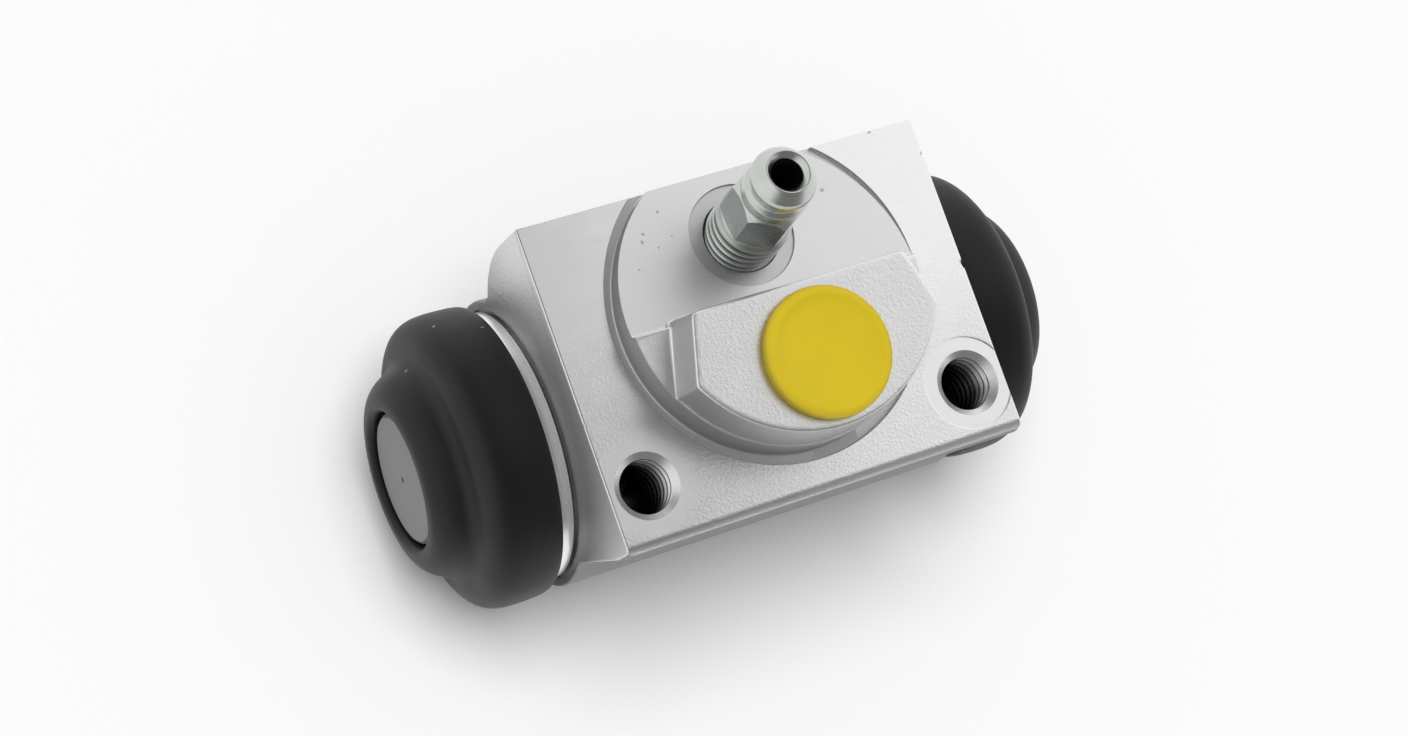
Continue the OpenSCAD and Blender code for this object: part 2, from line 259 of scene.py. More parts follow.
land_cut = [(y, LAND_Z - y * math.tan(LAND_LEAN)) for y in (PAST_PART, STEP_Y + 0.35)]
land_cut += arc(STEP_Y + STEP_FILLET, STEP_FILLET_Z, STEP_FILLET, -98, -180, 5)
land_cut += arc(STEP_Y - STEP_ROUND, STEP_ROUND_Z, STEP_ROUND, 0, 90, 5)
land_cut += [(-0.7, 9), (PAST_PART, 9)]
combine(boss, "DIFFERENCE", loft([[(x, y, z) for y, z in land_cut] for x in (-PAST_PART, PAST_PART)]))
combine(body, "UNION", taken_back(boss))

# Inlet block: drafted walls with the casting's fillets at the foot and a worn rim on top
BLOCK_TOP = 7.5
BLOCK_ARC_R = 13.6
BLOCK_RIM = 0.25
BLOCK_ROUND = 0.5
BLOCK_CORNERS = [(-10.1, STEP_Y), (10.9, STEP_Y), (12.39, -5.6), (-11.88, -6.62)]
ARC_DRAFT = 0.067
WALL_DRAFT = 0.105
ARC_FILLET = 0.06
FAR_FILLET = 0.2
STEP_END_FILLET = 0.4
END_FILLET = 0.1
FLAT_BAND = 0.3
far_left, far_right, near_right, near_left = BLOCK_CORNERS
sweep_from = math.degrees(math.atan2(near_right[1], near_right[0]))
sweep_to = math.degrees(math.atan2(near_left[1], near_left[0]))
near_arc = arc(0, 0, BLOCK_ARC_R, sweep_from, sweep_to, 60)
loop = eased([far_left, far_right, near_arc[0], near_arc[1]], BLOCK_ROUND)[1:-1] + near_arc[1:-1]
loop += eased([near_arc[-2], near_arc[-1], far_left, far_right], BLOCK_ROUND)[1:-1]
on_arc = np.array([math.hypot(x, y) > BLOCK_ARC_R - 0.03 for x, y in loop])
on_far = np.array([y > STEP_Y - 0.3 for x, y in loop])
by_step = np.array([y > STEP_Y - 1 for x, y in loop])
draft = np.where(on_arc, ARC_DRAFT, WALL_DRAFT)
foot_z = np.where(on_far, LAND_Z, BOSS_TOP)
fillet = np.where(by_step, STEP_END_FILLET, END_FILLET)
fillet = np.where(on_arc, ARC_FILLET, np.where(on_far, FAR_FILLET, fillet))
block_top = np.full(len(loop), BLOCK_TOP)
levels = [(foot_z - 0.3, fillet)]
levels += [(foot_z + fillet * along, fillet * inward) for along, inward in rim_steps]
levels += [(block_top - BLOCK_RIM * inward, -BLOCK_RIM * along) for along, inward in rim_steps]
levels += [(block_top, -BLOCK_RIM - FLAT_BAND)]
block_rings = []
for heights, outward in levels:
    spread = inset(loop, -(outward + draft * (BLOCK_TOP - heights)))
    block_rings.append([(x, y, z) for (x, y), z in zip(spread, heights)])
combine(body, "UNION", loft(block_rings))

# Turned ring and boot seat on each end, with a fine undercut behind the ring
RING_R = 12.7
RING_X = 21.6
RING_FOOT_R = 12.1
SEAT_R = 11.9
SEAT_END = 26.0
SEAT_BEVEL = 0.6
UNDERCUT_IN_R = 12.0
UNDERCUT_OUT_R = 12.82
UNDERCUT_DEPTH = 0.3
BORE_BEVEL = 0.5
end_turning = eased([
    (RING_FOOT_R, END_X - 1), (RING_FOOT_R, END_X + 0.02), (12.35, END_X + 0.06),
    (RING_R, END_X + 0.35), (RING_R, RING_X), (SEAT_R, RING_X),
    (SEAT_R, SEAT_END - SEAT_BEVEL), (SEAT_R - SEAT_BEVEL, SEAT_END),
], 0.08)
undercut = [
    (UNDERCUT_IN_R, END_X - UNDERCUT_DEPTH), (UNDERCUT_OUT_R, END_X - UNDERCUT_DEPTH),
    (UNDERCUT_OUT_R, END_X + 1), (UNDERCUT_IN_R, END_X + 1),
]
for side in (-1, 1):
    combine(body, "DIFFERENCE", turned(undercut, closed=True), to_bore(side))
    combine(body, "UNION", turned([(0, END_X - 1)] + end_turning + [(0, SEAT_END)]), to_bore(side))
bore_mouth_r = BORE_R + BORE_BEVEL
bore = [
    (0, -PAST_PART), (bore_mouth_r, -PAST_PART), (bore_mouth_r, -SEAT_END), (BORE_R, BORE_BEVEL - SEAT_END),
]
bore += [(r, -z) for r, z in reversed(bore)]
combine(body, "DIFFERENCE", turned(bore), to_bore(1))

# Tapped mounting holes, one of them spot faced, inlet port, bleed port and the passage to the bore
THREAD_PITCH = 1.0
TAP_FROM = -8.8
TAP_TO = -0.45
TAP_DEPTH = 0.5
TAPS = (Vector((-16.3, -12.7, 0)), Vector((16.3, -12.7, -0.15)))
TAP_CORE_R = 2.45
TAP_MOUTH_R = 3.3
SPOT_R = 4.25
PORT = Vector((0.4, -7.1, 0))
PORT_CORE_R = 4.5
PORT_BEVEL = 0.5
PASSAGE_R = 1.5
SCREW_AT = Vector((-0.6, 5.8, LAND_Z - 5.8 * math.tan(LAND_LEAN)))
BLEED_R = 3.5
BLEED_SPOT_R = 4.9


def thread_wave(angle, height):
    """0 and 1 at the two edges of a thread, with a smooth flank between them."""
    return 0.5 - 0.5 * np.cos(2 * math.pi * height / THREAD_PITCH - angle)


def tapped(radius, angle, height):
    """A drilled hole's radius, with a thread cut into it where the hole runs straight."""
    if height < TAP_FROM or height > TAP_TO:
        return np.full(len(angle), radius)
    return radius + TAP_DEPTH * thread_wave(angle, height)


tap = [(0, -10.4), (2.4, -9.0)]
tap += [(TAP_CORE_R, z) for z in np.arange(TAP_FROM, TAP_TO, THREAD_PITCH / 16)]
tap += [(TAP_CORE_R, -0.42), (TAP_MOUTH_R, 0.2), (TAP_MOUTH_R, 0.6), (0, 0.6)]
for hole in TAPS:
    combine(body, "DIFFERENCE", turned(tap, around=96, shaped=tapped), at(*hole))
spot_face = [(0, 0), (SPOT_R, 0), (SPOT_R, 0.2), (0, 0.2)]
combine(body, "DIFFERENCE", turned(spot_face), at(*TAPS[1]))
port_mouth_r = PORT_CORE_R + PORT_BEVEL
port = [(0, -11.7), (PASSAGE_R, -11.7), (PASSAGE_R, -11.6), (PORT_CORE_R, -9)]
port += [(PORT_CORE_R, z) for z in np.arange(TAP_FROM, -PORT_BEVEL, THREAD_PITCH / 10)]
port += [(PORT_CORE_R, -PORT_BEVEL), (port_mouth_r, 0), (port_mouth_r, 0.6), (0, 0.6)]
combine(body, "DIFFERENCE", turned(port, around=120, shaped=tapped), at(PORT.x, PORT.y, BLOCK_TOP))
screw_seat = at(*SCREW_AT) @ Matrix.Rotation(-LAND_LEAN, 4, "X")
bleed_port = [
    (0, -17), (1.25, -17), (1.25, -13), (BLEED_R, -10), (BLEED_R, -0.25), (3.56, -0.2), (4.83, -0.2),
    (BLEED_SPOT_R, -0.13), (BLEED_SPOT_R, 0.05), (4.95, 0.5), (0, 0.5),
]
combine(body, "DIFFERENCE", turned(bleed_port), screw_seat)
passage = turned([(0, -20), (PASSAGE_R, -20), (PASSAGE_R, 0), (0, 0)], around=48)
combine(body, "DIFFERENCE", passage, at(PORT.x, PORT.y, 0))

# Small knocks along the machined edges, where bare castings touched in the box
NICKS = [(15.5, 12.0, 0.3), (20.0, 8.5, 0.38), (20.0, -2.2, 0.5), (-17.2, 12.0, 0.2), (-20.0, -6.1, 0.2)]
for x, y, radius in NICKS:
    nick = bmesh.new()
    bmesh.ops.create_icosphere(nick, subdivisions=2, radius=radius * MM)
    combine(body, "DIFFERENCE", nick, at(x, y, 0.05))
smooth(body, degrees=34)


def linear(hexed):
    """An sRGB hex colour as linear RGBA."""
    parts = [int(hexed[i:i + 2], 16) / 255 for i in (1, 3, 5)]
    return tuple(c / 12.92 if c <= 0.04045 else ((c + 0.055) / 1.055) ** 2.4 for c in parts) + (1,)


def add(tree, kind, inputs=(), **settings):
    """Adds a node with its settings, and fills its inputs with values or links."""
    made = tree.nodes.new("ShaderNode" + kind)
    for name, value in settings.items():
        setattr(made, name, value)
    for name, value in dict(inputs).items():
        if isinstance(value, bpy.types.Node):
            value = next(out for out in value.outputs if out.enabled)
        if isinstance(value, bpy.types.NodeSocket):
            tree.links.new(value, made.inputs[name])
        else:
            made.inputs[name].default_value = value
    return made


# Settings of a node that eases from one value to another, and of one that mixes two colours. Inputs 1
# and 2 of the first are where it starts and ends, and 3 and 4 the values there, or else 0 and 1.
# Inputs 6 and 7 of the second are its colours
EASE = {"interpolation_type": "SMOOTHSTEP"}
COLOURS = {"data_type": "RGBA"}


def blank_material(name):
    """An empty material, its node tree, and the place on the part in millimetres."""
    material = bpy.data.materials.new(name)
    material.use_nodes = True
    tree = material.node_tree
    tree.nodes.clear()
    place = add(tree, "TexCoord").outputs["Object"]
    return material, tree, add(tree, "VectorMath", {0: place, "Scale": 1000}, operation="SCALE")


def from_bore(tree, place):
    """Place along the bore and distance from its axis, in mm."""
    apart = add(tree, "SeparateXYZ", {0: place})
    y = add(tree, "Math", {0: apart.outputs[1], 1: BORE_Y}, operation="SUBTRACT")
    z = add(tree, "Math", {0: apart.outputs[2], 1: BORE_Z}, operation="SUBTRACT")
    across = add(tree, "CombineXYZ", {0: y, 1: z})
    radius = add(tree, "VectorMath", {0: across}, operation="LENGTH").outputs["Value"]
    return apart.outputs[0], radius


# Shot-blasted cast aluminium: a grey skin of small overlapping dents that sparkles softly, rougher
# on the sides, which are also painted darker than the top as painted shade. Round the bore ends the
# facing tool has cut it smooth. The real dents are too fine to show and are drawn coarser
def blasted_aluminium():
    material, tree, place = blank_material("shot_blasted_cast_aluminium")
    dent_size = 0.34
    grit_size = 0.13
    cloud_size = 4.0
    dent_depth = 0.034
    dents = add(tree, "TexNoise", {"Vector": place, "Scale": 1 / dent_size, "Detail": 3, "Roughness": 0.6})
    grit = add(tree, "TexNoise", {"Vector": place, "Scale": 1 / grit_size, "Detail": 1})
    cloud = add(tree, "TexNoise", {"Vector": place, "Scale": 1 / cloud_size})
    along, radius = from_bore(tree, place)
    from_middle = add(tree, "Math", {0: along}, operation="ABSOLUTE")
    on_end = add(tree, "Math", {0: from_middle, 1: END_X - 0.05}, operation="GREATER_THAN")
    ragged = add(tree, "Math", {0: cloud, 1: 0.8, 2: radius}, operation="MULTIPLY_ADD")
    near_bore = add(tree, "MapRange", {"Value": ragged, 1: 15.8, 2: 15.3}, **EASE)
    faced = add(tree, "Math", {0: on_end, 1: near_bore}, operation="MULTIPLY")
    cast = add(tree, "Math", {0: 1, 1: faced}, operation="SUBTRACT")
    skin = add(tree, "Math", {0: grit, 1: 0.4, 2: dents}, operation="MULTIPLY_ADD")
    relief = add(tree, "Math", {0: skin, 1: cast}, operation="MULTIPLY")
    normal = add(tree, "NewGeometry").outputs["Normal"]
    upward = add(tree, "SeparateXYZ", {0: normal}).outputs[2]
    sideways = add(tree, "MapRange", {"Value": upward, 1: 0.8, 2: 0.4}, **EASE)
    height = add(tree, "SeparateXYZ", {0: place}).outputs[2]
    # Painted shade and painted reflection: the end faces darken towards the bottom, where the boot and the
    # shadowed table would be mirrored, and the walls darken below their top edge
    end_shade_ramp = add(tree, "MapRange", {"Value": height, 1: -22, 2: -2}, **EASE)
    wall_shade_ramp = add(tree, "MapRange", {"Value": height, 1: 0.1, 2: -0.7}, **EASE)
    top = add(tree, "Mix", {"Factor": cloud, 6: linear("#F0F0F1"), 7: linear("#FAFAFB")}, **COLOURS)
    end = add(tree, "Mix", {"Factor": end_shade_ramp, 6: linear("#626263"), 7: linear("#DEDEDF")}, **COLOURS)
    wall = add(tree, "Mix", {"Factor": wall_shade_ramp, 6: linear("#C4C4C5"), 7: linear("#8C8C8D")}, **COLOURS)
    shaded_flank = add(tree, "Mix", {"Factor": on_end, 6: wall, 7: end}, **COLOURS)
    colour = add(tree, "Mix", {"Factor": sideways, 6: top, 7: shaded_flank}, **COLOURS)
    roughness = add(tree, "Math", {0: sideways, 1: 0.12, 2: 0.36}, operation="MULTIPLY_ADD")
    bump = add(tree, "Bump", {"Height": relief, "Strength": 1, "Distance": dent_depth * MM})
    metal = add(tree, "BsdfPrincipled", {
        "Base Color": colour, "Metallic": 1, "Roughness": roughness, "Normal": bump,
    })
    add(tree, "OutputMaterial", {"Surface": metal})
    return material


# Face-milled aluminium: flat and bright with fine cutter lines and a few casting pores. Towards
# the near edge the cutter has only skimmed the blasted skin. The face is painted brighter towards
# the right as a painted highlight. Lines and dents are too fine to show in their real size and are
# drawn coarser
def milled_aluminium(pores):
    material, tree, place = blank_material("face_milled_aluminium")
    line_spacing = 0.18
    line_stretch = (0.05, 1, 1)
    line_depth = 0.002
    cloud_size = 3.0
    dent_size = 0.28
    dent_depth = 0.034
    pore_edge = 0.4
    pore_depth = 0.015
    stretched = add(tree, "VectorMath", {0: place, 1: line_stretch}, operation="MULTIPLY")
    lines = add(tree, "TexNoise", {"Vector": stretched, "Scale": 1 / line_spacing, "Roughness": 0.6})
    cloud = add(tree, "TexNoise", {"Vector": place, "Scale": 1 / cloud_size, "Detail": 3})
    dents = add(tree, "TexNoise", {"Vector": place, "Scale": 1 / dent_size, "Detail": 3, "Roughness": 0.6})
    apart = add(tree, "SeparateXYZ", {0: place})
    across = add(tree, "Math", {0: cloud, 1: 9, 2: apart.outputs[1]}, operation="MULTIPLY_ADD")
    skimmed = add(tree, "MapRange", {"Value": across, 1: 10, 2: -8}, **EASE)
    dented = skimmed
    for hole, cleared, blended in ((TAPS[0], TAP_MOUTH_R, 5.5), (TAPS[1], SPOT_R - 0.1, SPOT_R + 0.2)):
        gap = add(tree, "VectorMath", {0: place, 1: tuple(hole)}, operation="DISTANCE").outputs["Value"]
        outside = add(tree, "MapRange", {"Value": gap, 1: cleared, 2: blended}, **EASE)
        dented = add(tree, "Math", {0: dented, 1: outside}, operation="MULTIPLY")
    wobble = add(tree, "TexNoise", {"Vector": place, "Scale": 1 / pore_edge})
    pitted = 0.0
    for x, y, z, size in pores:
        gap = add(tree, "VectorMath", {0: place, 1: (x, y, z)}, operation="DISTANCE").outputs["Value"]
        ragged = add(tree, "Math", {0: wobble, 1: size * 1.2, 2: gap}, operation="MULTIPLY_ADD")
        pore = add(tree, "MapRange", {"Value": ragged, 1: size * 1.9, 2: size * 0.6}, **EASE)
        pitted = add(tree, "Math", {0: pitted, 1: pore}, operation="MAXIMUM")
    skin = add(tree, "Math", {0: dents, 1: dented}, operation="MULTIPLY")
    cutter = add(tree, "Math", {0: lines, 1: line_depth}, operation="MULTIPLY")
    relief = add(tree, "Math", {0: skin, 1: dent_depth, 2: cutter}, operation="MULTIPLY_ADD")
    relief = add(tree, "Math", {0: pitted, 1: -pore_depth, 2: relief}, operation="MULTIPLY_ADD")
    # Painted highlight: the face gets brighter towards the right, and the land has the bright tone all over
    along = add(tree, "Math", {0: cloud, 1: 12, 2: apart.outputs[0]}, operation="MULTIPLY_ADD")
    painted_highlight_rightward = add(tree, "MapRange", {"Value": along, 1: -14, 2: 16}, **EASE)
    on_land = add(tree, "MapRange", {"Value": apart.outputs[2], 1: 0.1, 2: 0.4}, **EASE)
    bright = add(tree, "Math", {0: painted_highlight_rightward, 1: on_land}, operation="MAXIMUM")
    gap = add(tree, "VectorMath", {0: place, 1: tuple(SCREW_AT)}, operation="DISTANCE").outputs["Value"]
    by_screw = add(tree, "MapRange", {"Value": gap, 1: BLEED_SPOT_R + 0.02, 2: BLEED_SPOT_R - 0.06}, **EASE)
    colour = add(tree, "Mix", {"Factor": bright, 6: linear("#E2E2E3"), 7: linear("#F8F8F9")}, **COLOURS)
    colour = add(tree, "Mix", {"Factor": by_screw, 6: colour, 7: linear("#DEDEDF")}, **COLOURS)
    colour = add(tree, "Mix", {"Factor": pitted, 6: colour, 7: linear("#B8B9BA")}, **COLOURS)
    roughness = add(tree, "Math", {0: on_land, 1: 0.17, 2: 0.2}, operation="MULTIPLY_ADD")
    roughness = add(tree, "Math", {0: lines, 1: 0.1, 2: roughness}, operation="MULTIPLY_ADD")
    roughness = add(tree, "Math", {0: skimmed, 1: 0.06, 2: roughness}, operation="MULTIPLY_ADD")
    bump = add(tree, "Bump", {"Height": relief, "Strength": 1, "Distance": MM})
    metal = add(tree, "BsdfPrincipled", {
        "Base Color": colour, "Metallic": 1, "Roughness": roughness, "Normal": bump,
    })
    add(tree, "OutputMaterial", {"Surface": metal})
    return material


# Turned aluminium: bright, with rings round the bore left by the lathe tool, which are too fine to
# show and are drawn coarser
def turned_aluminium():
    material, tree, place = blank_material("turned_aluminium")
    ring_spacing = 0.12
    ring_depth = 0.002
    along, radius = from_bore(tree, place)
    section = add(tree, "CombineXYZ", {0: along, 1: radius})
    rings = add(tree, "TexNoise", {"Vector": section, "Scale": 1 / ring_spacing})
    roughness = add(tree, "MapRange", {"Value": rings, 1: 0.3, 2: 0.7, 3: 0.24, 4: 0.32}, **EASE)
    bump = add(tree, "Bump", {"Height": rings, "Strength": 1, "Distance": ring_depth * MM})
    metal = add(tree, "BsdfPrincipled", {
        "Base Color": linear("#F6F6F7"), "Metallic": 1, "Roughness": roughness, "Normal": bump,
    })
    add(tree, "OutputMaterial", {"Surface": metal})
    return material


# Tapped aluminium: the plain bright walls that a cutting tool leaves, painted darker further
# down the holes as painted shade
def tapped_aluminium():
    material, tree, place = blank_material("tapped_aluminium")
    smear_size = 0.8
    smear = add(tree, "TexNoise", {"Vector": place, "Scale": 1 / smear_size})
    roughness = add(tree, "MapRange", {"Value": smear, 1: 0.3, 2: 0.7, 3: 0.24, 4: 0.3}, **EASE)
    height = add(tree, "SeparateXYZ", {0: place}).outputs[2]
    # Painted shade: darker further down the holes
    painted_depth_shade = add(tree, "MapRange", {"Value": height, 1: -1, 2: -5}, **EASE)
    colour = add(tree, "Mix", {"Factor": painted_depth_shade, 6: linear("#E6E6E7"), 7: linear("#4A4A4A")}, **COLOURS)
    metal = add(tree, "BsdfPrincipled", {"Base Color": colour, "Metallic": 1, "Roughness": roughness})
    add(tree, "OutputMaterial", {"Surface": metal})
    return material


# Form-turned aluminium: the dull grey that a chattering grooving tool leaves
def grooved_aluminium():
    material, tree, place = blank_material("form_turned_aluminium")
    chatter_size = 0.4
    chatter_depth = 0.004
    chatter = add(tree, "TexNoise", {"Vector": place, "Scale": 1 / chatter_size})
    colour = add(tree, "Mix", {"Factor": chatter, 6: linear("#DEDEDF"), 7: linear("#EAEAEB")}, **COLOURS)
    bump = add(tree, "Bump", {"Height": chatter, "Strength": 1, "Distance": chatter_depth * MM})
    metal = add(tree, "BsdfPrincipled", {
        "Base Color": colour, "Metallic": 1, "Roughness": 0.46, "Normal": bump,
    })
    add(tree, "OutputMaterial", {"Surface": metal})
    return material


LAND_PORES = [
    (-7.3, 9.9, 1.0, 0.16), (-9.4, 8.3, 1.24, 0.2), (-9.75, 7.6, 1.33, 0.22), (-11.0, 5.3, 1.65, 0.14),
    (-8.5, 6.75, 1.45, 0.12), (8.4, 7.7, 1.32, 0.22), (-6.9, 7.45, 1.35, 0.1),
]
BLASTED, MILLED, TURNED, TAPPED, GROOVED = range(5)
body.data.materials.append(blasted_aluminium())
body.data.materials.append(milled_aluminium(LAND_PORES))
body.data.materials.append(turned_aluminium())
body.data.materials.append(tapped_aluminium())
body.data.materials.append(grooved_aluminium())
land_normal = Vector((0, math.sin(LAND_LEAN), math.cos(LAND_LEAN)))
for face in body.data.polygons:
    x, y, z = face.center / MM
    from_axis = math.hypot(y - BORE_Y, z - BORE_Z)
    from_tap = min(math.hypot(x - hole.x, y - hole.y) for hole in TAPS)
    in_groove = math.hypot(x - GROOVE_X, y) < GROOVE_R + 0.05 and -1 < z < -0.03
    on_land = face.normal.dot(land_normal) > 0.999 and 0.3 < z < 3
    on_face = face.normal.z > 0.9 and -0.2 < z < 0.1
    on_seat = from_axis < RING_R + 0.1 and abs(x) > END_X + 0.005
    in_bore = from_axis < BORE_R + 0.6 and abs(face.normal.x) < 0.9
    in_port = math.hypot(x - PORT.x, y - PORT.y) < port_mouth_r + 0.1 and z < BLOCK_TOP - 0.02
    if in_groove:
        face.material_index = GROOVED
    elif on_land or on_face:
        face.material_index = MILLED
    elif on_seat or in_bore:
        face.material_index = TURNED
    elif from_tap < TAP_MOUTH_R or in_port:
        face.material_index = TAPPED
    else:
        face.material_index = BLASTED
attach(body, "housing")
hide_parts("body")

# Return spring
# Drawn spring-steel wire wound in open turns between two flat ends, pressed lightly
# between the pistons. It is made in two halves, one each side of its middle turn.

COIL_R = 4.8
WIRE_R = 0.5
OPEN_TURNS = 6
END_TURN = 0.75
SPRING_HALF = 12.5
WIRE_SIDES = 12
STEPS_PER_TURN = 40


def spring_half(side):
    """Rings of points along half of the coil, from its middle turn to one end."""
    turns = OPEN_TURNS / 2 + END_TURN
    rings = []
    for turn in np.linspace(0, turns, int(turns * STEPS_PER_TURN)):
        angle = side * 2 * math.pi * turn
        along = side * SPRING_HALF * min(1, turn / (OPEN_TURNS / 2))
        ring = []
        for tilt in np.linspace(0, 2 * math.pi, WIRE_SIDES, endpoint=False):
            radius = COIL_R + WIRE_R * math.cos(tilt)
            across = BORE_Y + radius * math.cos(angle)
            up = BORE_Z + radius * math.sin(angle)
            ring.append((along + WIRE_R * math.sin(tilt), across, up))
        rings.append(ring)
    return rings


# Drawn spring steel: dark, with faint blotches where the drawing soap has worn off
def spring_steel():
    material, tree, place = blank_material("drawn_spring_steel")
    blotch_size = 0.3
    blotches = add(tree, "TexNoise", {"Vector": place, "Scale": 1 / blotch_size})
    colour = add(tree, "Mix", {"Factor": blotches, 6: linear("#7E7F82"), 7: linear("#9C9DA0")}, **COLOURS)
    metal = add(tree, "BsdfPrincipled", {"Base Color": colour, "Metallic": 1, "Roughness": 0.32})
    add(tree, "OutputMaterial", {"Surface": metal})
    return material


wire_metal = spring_steel()
for side, name, piston_body in (
    (-1, "spring_left_half", "left_piston"),
    (1, "spring_right_half", "right_piston"),
):
    half = as_object(loft(spring_half(side)), name)
    smooth(half, degrees=50)
    half.data.materials.append(wire_metal)
    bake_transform(half)
    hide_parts("return_spring")

# Seals
# Moulded rubber cups in a groove of each piston, with the lip towards the fluid.
# They are hidden in the bore, and keep the plain turned shape that they have in the solids.


# Nitrile rubber: black, smooth from the mould and slightly wet with brake fluid
def seal_rubber():
    material, tree, place = blank_material("moulded_seal_rubber")
    smear_size = 0.5
    smear = add(tree, "TexNoise", {"Vector": place, "Scale": 1 / smear_size})
    roughness = add(tree, "MapRange", {"Value": smear, 1: 0.3, 2: 0.7, 3: 0.3, 4: 0.45}, **EASE)
    rubber = add(tree, "BsdfPrincipled", {
        "Base Color": linear("#1B1B1B"), "Roughness": roughness, "IOR": 1.52,
    })
    add(tree, "OutputMaterial", {"Surface": rubber})
    return material


seal_skin = seal_rubber()
for name in ("seal_left", "seal_right"):
    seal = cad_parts[name]
    seal.data.materials.clear()
    seal.data.materials.append(seal_skin)

# Pistons
# Turned aluminium with a matte grey anodised skin. Each slides in the bore, and its flat
# nose shows inside the boot, with the small mark that the lathe centre left in the middle.


# Hard-anodised aluminium: matte grey, with faint turning rings and grain under the oxide, which
# are drawn coarser than they are
def grey_anodising():
    material, tree, place = blank_material("grey_anodised_aluminium")
    ring_spacing = 0.2
    grain_size = 0.1
    relief_depth = 0.003
    along, radius = from_bore(tree, place)
    section = add(tree, "CombineXYZ", {0: along, 1: radius})
    rings = add(tree, "TexNoise", {"Vector": section, "Scale": 1 / ring_spacing})
    grain = add(tree, "TexNoise", {"Vector": place, "Scale": 1 / grain_size, "Detail": 1})
    relief = add(tree, "Math", {0: grain, 1: 0.5, 2: rings}, operation="MULTIPLY_ADD")
    colour = add(tree, "Mix", {"Factor": rings, 6: linear("#7A7B7B"), 7: linear("#838484")}, **COLOURS)
    bump = add(tree, "Bump", {"Height": relief, "Strength": 1, "Distance": relief_depth * MM})
    oxide = add(tree, "BsdfPrincipled", {
        "Base Color": colour, "Metallic": 0.1, "Roughness": 0.55, "Normal": bump,
    })
    add(tree, "OutputMaterial", {"Surface": oxide})
    return material


piston_skin = grey_anodising()
for name in ("piston_left", "piston_right"):
    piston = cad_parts[name]
    piston.data.materials.clear()
    piston.data.materials.append(piston_skin)

# Boots
# Moulded rubber covers that snap over the turned seats and close round the piston noses.
# The wide skirt turns in over a soft shoulder to a neck, and ends in a short round nose.

BOOT_AROUND = 160
BOOT_OUTSIDE = [
    (12.95, 21.62), (13.4, 21.75), (13.65, 22.1), (13.78, 22.8), (13.85, 24.2), (13.85, 25.4), (13.72, 26.5),
    (13.3, 27.45), (12.6, 28.1), (11.7, 28.5), (10.95, 28.68), (10.35, 28.92), (9.95, 29.35), (9.65, 30.0),
    (9.2, 30.8), (8.55, 31.5), (7.8, 31.9), (7.0, 31.98),
]
BOOT_INSIDE = [
    (6.7, 31.85), (6.5, 31.55), (6.45, 31.1), (6.45, 29.0), (6.6, 28.9), (7.2, 28.85), (8.4, 28.9),
    (9.4, 28.6), (10.2, 28.1), (11.3, 27.3), (SEAT_R, 26.4), (SEAT_R, 21.6),
]


def curve_through(points, per_span):
    """A smooth line through the points, its slope at each one set by the two beside it."""
    ends = [points[0]] + list(points) + [points[-1]]
    line = []
    for i in range(len(points) - 1):
        p0, p1, p2, p3 = (np.array(p, float) for p in ends[i:i + 4])
        for t in np.linspace(0, 1, per_span, endpoint=False):
            bend = (2 * p0 - 5 * p1 + 4 * p2 - p3) * t ** 2 + (3 * p1 - p0 - 3 * p2 + p3) * t ** 3
            line.append(tuple(0.5 * (2 * p1 + (p2 - p0) * t + bend)))
    return line + [tuple(points[-1])]


# EPDM rubber: satin black from a blasted mould, whose grain is drawn coarser than it is, with a
# little pale dust on it
def boot_rubber():
    material, tree, place = blank_material("moulded_boot_rubber")
    grain_size = 0.12
    grain_depth = 0.002
    flow_size = 6.0
    dust_spacing = 3.2
    grain = add(tree, "TexNoise", {"Vector": place, "Scale": 1 / grain_size})
    flow = add(tree, "TexNoise", {"Vector": place, "Scale": 1 / flow_size})
    specks = add(tree, "TexVoronoi", {"Vector": place, "Scale": 1 / dust_spacing})
    chance = add(tree, "SeparateColor", {0: specks.outputs["Color"]}).outputs[0]
    rare = add(tree, "Math", {0: chance, 1: 0.74}, operation="GREATER_THAN")
    from_speck = specks.outputs["Distance"]
    speck = add(tree, "MapRange", {"Value": from_speck, 1: 0.07, 2: 0.03, 3: 0, 4: 0.7}, **EASE)
    dust = add(tree, "Math", {0: rare, 1: speck}, operation="MULTIPLY")
    colour = add(tree, "Mix", {"Factor": flow, 6: linear("#0B0B0B"), 7: linear("#101010")}, **COLOURS)
    colour = add(tree, "Mix", {"Factor": dust, 6: colour, 7: linear("#9A9A98")}, **COLOURS)
    roughness = add(tree, "MapRange", {"Value": flow, 1: 0.3, 2: 0.7, 3: 0.46, 4: 0.53}, **EASE)
    bump = add(tree, "Bump", {"Height": grain, "Strength": 1, "Distance": grain_depth * MM})
    rubber = add(tree, "BsdfPrincipled", {
        "Base Color": colour, "Roughness": roughness, "IOR": 1.42, "Normal": bump,
    })
    add(tree, "OutputMaterial", {"Surface": rubber})
    return material


boot_skin = boot_rubber()
boot_profile = curve_through(BOOT_OUTSIDE, 4) + curve_through(BOOT_INSIDE, 3)
for side, name, node, piston_body in (
    (-1, "boot_cover_left", "boot_left", "left_piston"),
    (1, "boot_cover_right", "boot_right", "right_piston"),
):
    boot = as_object(turned(boot_profile, BOOT_AROUND, closed=True), name, to_bore(side))
    smooth(boot, degrees=40)
    boot.data.materials.append(boot_skin)
    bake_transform(boot)
    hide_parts(node)

# Bleed screw
# Turned from hexagon bar in free-cutting steel and zinc plated: a cone point, an M7 thread,
# the hexagon, and a barbed nipple with the bleed hole down its middle.

